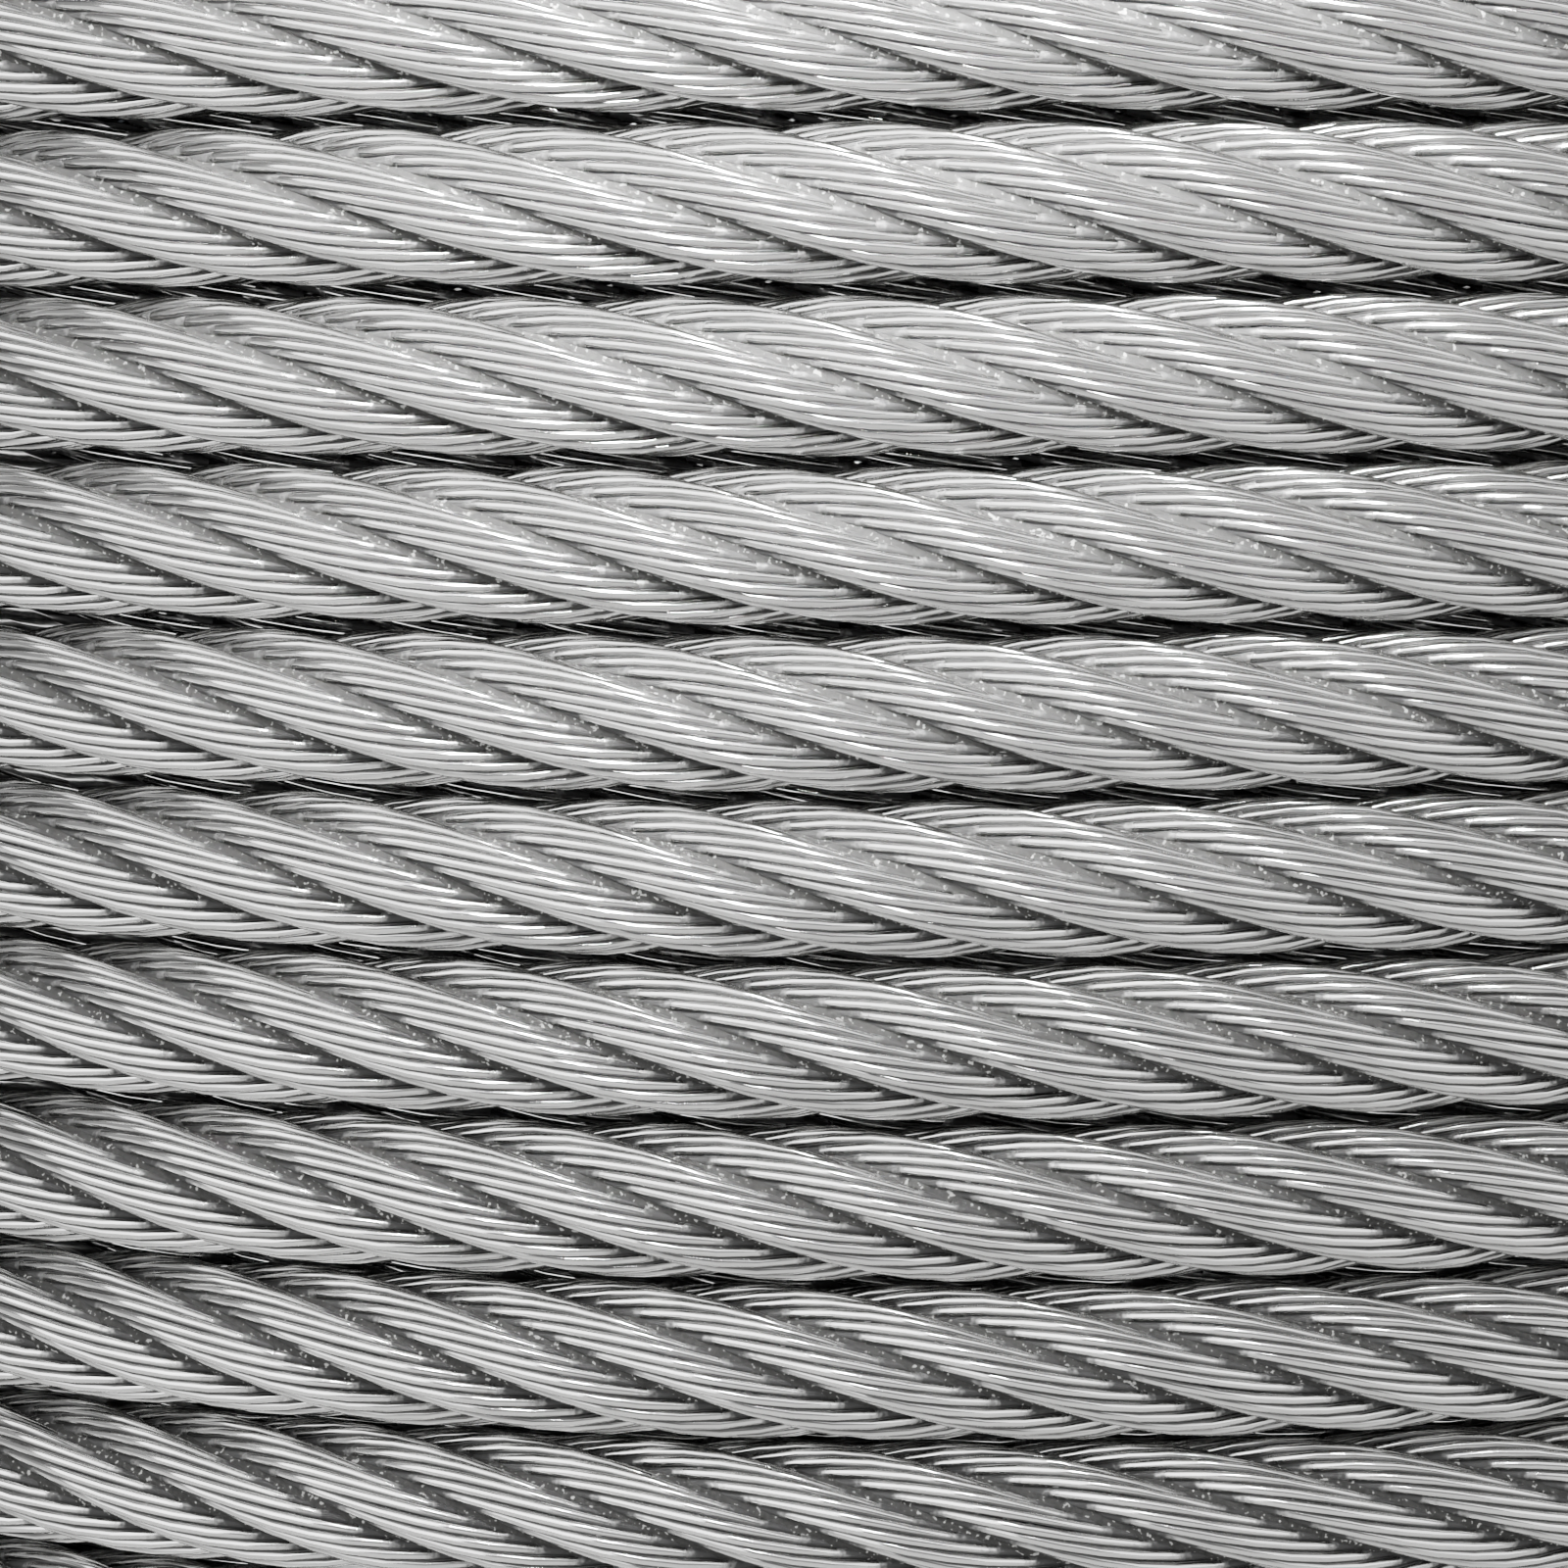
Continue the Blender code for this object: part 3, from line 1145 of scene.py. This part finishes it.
@dataclass(frozen=True)
class Studio:
    """The floor, the lights and the camera."""

    winding: Winding
    focal_pixels: float = 3609.0
    camera_turn: float = math.radians(1.73)
    camera_tilt: float = math.radians(-8.36)
    camera_roll: float = math.radians(0.22)
    camera_rise: float = 3.65
    camera_distance: float = 20.44
    aimed_row: int = 5
    strip_side: float = 0.025
    strip_aim: tuple[float, float, float] = (0.0, -0.188, 0.140)
    strip_distance: float = 0.39
    strip_lamps: int = 4
    strip_lowest: float = math.radians(24)
    strip_step: float = math.radians(10.5)
    strip_power: float = 0.22
    strip_narrowing: float = 0.6
    strip_spread: float = math.radians(17)

    def place_camera(self) -> None:
        """Set the camera at the photograph's viewing angle, close to the coil's outer face."""
        pitch = self.winding.pitch
        crown = self.winding.outer_radius + self.winding.rope.radius
        row_height = self.winding.highest - (self.aimed_row - self.winding.top_row) * pitch
        away = crown + self.camera_distance * pitch
        place = Vector((0.0, -away, row_height + self.camera_rise * pitch))
        turn = Matrix.Rotation(self.camera_turn, 3, "Z")
        tilt = Matrix.Rotation(self.camera_tilt, 3, "X")
        roll = Matrix.Rotation(self.camera_roll, 3, "Y")
        level = Matrix.Rotation(math.radians(90), 3, "X")
        data = bpy.data.cameras.new("camera")
        data.sensor_width = SENSOR_WIDTH
        data.lens = self.focal_pixels * SENSOR_WIDTH / PHOTO_SIZE
        data.clip_start = 0.01
        camera = bpy.data.objects.new("camera", data)
        camera.matrix_world = Matrix.Translation(place) @ (turn @ tilt @ roll @ level).to_4x4()
        bpy.context.scene.collection.objects.link(camera)
        bpy.context.scene.camera = camera

    def place_floor(self) -> None:
        """Lay the floor that the coil lies on."""
        bpy.ops.mesh.primitive_plane_add(size=6.0)
        floor = bpy.context.object
        floor.name = "floor"
        floor.data.materials.append(FloorFinish().build())

    def add_light(
        self,
        name: str,
        place: Vector,
        size: float,
        power: float,
        target: Vector,
        spread: float = math.pi,
        narrowing: float = 1.0,
    ) -> None:
        """Add a soft light.

        Args:
            name: The light's name.
            place: Where it stands.
            size: Its height.
            power: Its power in watts.
            target: The point that it faces.
            spread: The angle that its light fills.
            narrowing: Its width as a share of its height.
        """
        data = bpy.data.lights.new(name, "AREA")
        data.shape = "RECTANGLE"
        data.size = size * narrowing
        data.size_y = size
        data.energy = power
        data.spread = spread
        light = bpy.data.objects.new(name, data)
        light.location = place
        light.rotation_euler = (target - place).to_track_quat("-Z", "Y").to_euler()
        bpy.context.scene.collection.objects.link(light)

    def light(self) -> None:
        """Light the coil with soft lights and a pale surrounding."""
        target = Vector((0.0, 0.0, 0.06))
        self.add_light("overhead", Vector((0.1, -0.9, 1.1)), 0.9, 5.0, target)
        self.add_light("left", Vector((-0.75, -1.25, 0.68)), 1.4, 31.0, target)
        self.add_light("right", Vector((1.0, -1.0, 0.6)), 1.0, 8.5, target)
        self.add_light("back", Vector((0.2, 1.4, 1.2)), 1.3, 11.0, target)
        self.add_strip()
        world = bpy.data.worlds.new("surrounding")
        world.use_nodes = True
        world.node_tree.nodes["Background"].inputs["Color"].default_value = (0.8, 0.8, 0.8, 1.0)
        world.node_tree.nodes["Background"].inputs["Strength"].default_value = 0.5
        bpy.context.scene.world = world

    def add_strip(self) -> None:
        """Add the narrow upright row of lamps whose image is the dashes on the upper turns."""
        foot = Vector((self.strip_side, -0.19, 0.10))
        aim = Vector(self.strip_aim)
        for lamp in range(self.strip_lamps):
            rise = self.strip_lowest + lamp * self.strip_step
            reach = Vector((0.013, -math.cos(rise), math.sin(rise))) * self.strip_distance
            size = 2 * self.strip_distance * math.tan(self.strip_step / 2)
            self.add_light(
                f"strip_{lamp + 1}",
                foot + reach,
                size,
                self.strip_power,
                aim,
                self.strip_spread,
                self.strip_narrowing,
            )

    def build(self) -> None:
        """Set up the whole studio."""
        self.place_camera()
        self.place_floor()
        self.light()


@dataclass(frozen=True)
class Sector:
    """A part of the coil's outer face, and how finely its wires are made."""

    name: str
    begins: float
    ends: float
    run_rings: int
    across: int
    grease_spacing: float


@dataclass(frozen=True)
class RopeCoil:
    """The wound rope: the wires of its outer layer, the strands of the others, and its ends."""

    winding: Winding
    photo_edge: float = math.radians(18)
    strap_place: float = math.radians(45)
    bore_spacing: float = 0.007

    @property
    def sectors(self) -> tuple[Sector, ...]:
        """The sectors of the outer face and how finely their wires are made."""
        edge, strap, side = self.photo_edge, self.strap_place, math.pi - self.strap_place
        return (
            Sector("middle_left", -edge, 0.0, 8, 7, 0.0018),
            Sector("middle_right", 0.0, edge, 8, 7, 0.0018),
            Sector("front_left", -strap, -edge, 6, 4, 0.005),
            Sector("front_right", edge, strap, 6, 4, 0.005),
            Sector("left", -side, -strap, 5, 3, 0.006),
            Sector("right", strap, side, 5, 3, 0.006),
            Sector("back_left", -math.pi, -side, 5, 3, 0.006),
            Sector("back_right", side, math.pi, 5, 3, 0.006),
        )

    def keep(self, piece: bpy.types.Object) -> bpy.types.Object:
        """Make a piece part of the coil, in place of the plain turned solid."""
        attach(piece, "root")
        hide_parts("rope_coil")
        LOG.info("%s: %d polygons", piece.name, len(piece.data.polygons))
        return piece

    def build(self) -> None:
        """Build every piece of the rope."""
        turns = self.winding.turns()
        layers = {
            layer: tuple(turn for turn in turns if turn.layer == layer.value) for layer in Layer
        }
        outer = layers[Layer.OUTER]
        wire_steel = WireSteel().build()
        strand_steel = StrandSteel().build()
        greased = GrittyGrease().build()
        for sector in self.sectors:
            wires = WireCoat(
                self.winding,
                f"rope_wires_{sector.name}",
                outer,
                sector.begins,
                sector.ends,
                across=sector.across,
                run_rings=sector.run_rings,
            )
            self.keep(wires.build(wire_steel))
            grease = GrooveGrease(
                self.winding,
                f"rope_grease_{sector.name}",
                outer,
                sector.begins,
                sector.ends,
                sector.grease_spacing,
            )
            self.keep(grease.build(greased))
        between = WireCoat(
            self.winding,
            "rope_wires_second",
            layers[Layer.SECOND],
            -self.photo_edge,
            self.photo_edge,
            run_rings=6,
        )
        self.keep(between.build(wire_steel))
        for layer, name in ((Layer.SECOND, "second"), (Layer.THIRD, "third"), (Layer.BORE, "bore")):
            skin = StrandSkin(
                self.winding,
                f"rope_strands_{name}",
                layers[layer],
                ring_spacing=self.bore_spacing,
            )
            self.keep(skin.build(strand_steel))
        fibre = CoreFibre().build()
        first, last = turns[0], turns[-1]
        ends = (
            RopeEnd(self.winding, "rope_end_inner", first, first.begins, -1.0),
            RopeEnd(self.winding, "rope_end_outer", last, last.ends, 1.0),
        )
        for end in ends:
            self.keep(end.build(wire_steel, fibre))


@dataclass(frozen=True)
class Binding:
    """The straps, which are the frame's own, with crimped seals and the tails that stick out."""

    seal_names: tuple[str, ...] = ("strap_seal_1", "strap_seal_2", "strap_seal_3", "strap_seal_4")
    strap_face: float = 0.1903
    strap_thickness: float = 0.0005
    strap_half_width: float = 0.0065
    clearance: float = 0.0003
    seal_thickness: float = 0.0009
    fold_radius: float = 0.0004
    crimps: int = 3
    crimp_depth: float = 0.0004
    seal_rows: int = 43
    tail_length: float = 0.016
    tail_lift: float = 0.0016
    tail_rows: int = 9

    def build(self) -> None:
        """Make the seals and tails and give the straps their finish."""
        strap_steel = StrapFinish().build()
        zinc = ZincSheet().build()
        for name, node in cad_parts.items():
            if name.startswith("strap") and name not in self.seal_names:
                node.data.materials.clear()
                node.data.materials.append(strap_steel)
        for number, name in enumerate(self.seal_names, 1):
            low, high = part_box(name)
            middle = (low + high) / 2
            angle = math.atan2(middle.y, middle.x)
            seal = self.add_sheet(f"crimped_seal_{number}", self.seal_grid(low.z, high.z), angle)
            self.dress(seal, zinc, self.seal_thickness, "seal_steel")
            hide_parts(name)
            tail = self.add_sheet(f"strap_tail_{number}", self.tail_grid(low.z), angle)
            self.dress(tail, strap_steel, self.strap_thickness, "strap_steel")

    def seal_profile(self) -> list[tuple[float, float]]:
        """Return the fold round the strap as points of radius and place across."""
        side = self.strap_half_width + self.clearance
        outer = self.strap_face + self.strap_thickness + self.clearance
        bend = self.fold_radius
        half = [(self.strap_face, side)]
        for step in range(4):
            angle = math.radians(30 * step)
            half.append(
                (outer - bend + bend * math.sin(angle), side - bend + bend * math.cos(angle))
            )
        half += [(outer, side * share) for share in (0.75, 0.5, 0.25)]
        left = [(radius, -across) for radius, across in half]
        return left + [(outer, 0.0)] + half[::-1]

    def seal_grid(self, low: float, high: float) -> list[list[tuple[float, float, float]]]:
        """Return the seal as rows of points of radius, place across and height."""
        side = self.strap_half_width
        rows = []
        for row in range(self.seal_rows):
            share = row / (self.seal_rows - 1)
            wave = 0.5 - 0.5 * math.cos(math.tau * self.crimps * share)
            bend = self.crimp_depth * (0.6 - wave**2)
            height = low + share * (high - low)
            rows.append(
                [
                    (radius + bend * min(abs(across) / side, 1.0) ** 3, across, height)
                    for radius, across in self.seal_profile()
                ]
            )
        return rows

    def tail_grid(self, low: float) -> list[list[tuple[float, float, float]]]:
        """Return the strap's tail below its seal as rows of points."""
        face = self.strap_face + self.strap_thickness + self.clearance / 3
        rows = []
        for row in range(self.tail_rows):
            share = 1 - row / (self.tail_rows - 1)
            half = self.strap_half_width * (0.97 if share < 0.95 else 0.80)
            radius = face + self.tail_lift * share**2
            height = low + 0.002 - share * self.tail_length
            rows.append([(radius, across * half, height) for across in (-1.0, -0.33, 0.33, 1.0)])
        return rows

    @staticmethod
    def add_sheet(
        name: str, rows: Sequence[Sequence[tuple[float, float, float]]], angle: float
    ) -> bpy.types.Object:
        """Make a sheet from rows of points of radius, place across and height.

        Args:
            name: The piece's name.
            rows: The points, from the lowest row up.
            angle: The direction from the coil's axis to the sheet's middle.

        Returns:
            The sheet, with its faces pointing away from the axis.
        """
        turn = Matrix.Rotation(angle, 3, "Z")
        points = [turn @ Vector(point) for row in rows for point in row]
        width = len(rows[0])
        faces = [
            (start + column, start + column + 1, start + column + 1 + width, start + column + width)
            for start in range(0, width * (len(rows) - 1), width)
            for column in range(width - 1)
        ]
        mesh = bpy.data.meshes.new(name)
        mesh.from_pydata(points, [], faces)
        for face in mesh.polygons:
            face.use_smooth = True
        piece = bpy.data.objects.new(name, mesh)
        bpy.context.scene.collection.objects.link(piece)
        return piece

    @staticmethod
    def dress(
        piece: bpy.types.Object, material: bpy.types.Material, thickness: float, slot: str
    ) -> None:
        """Give a sheet its thickness, its finish and its place on the object."""
        wall = piece.modifiers.new("wall", "SOLIDIFY")
        wall.thickness = thickness
        wall.offset = 1.0
        wall.use_even_offset = True
        edge = piece.modifiers.new("edge", "BEVEL")
        edge.width = thickness / 6
        edge.segments = 1
        edge.limit_method = "ANGLE"
        piece.data.materials.append(material)
        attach(piece, "root")
        LOG.info("%s: %d polygons", piece.name, len(piece.data.polygons))


def main() -> None:
    """Build the coil and its studio."""
    logging.basicConfig(level=logging.INFO, format="%(message)s")
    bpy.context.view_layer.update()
    winding = Winding(Rope())
    Studio(winding).build()
    RopeCoil(winding).build()
    Binding().build()


if __name__ == "__main__":
    main()
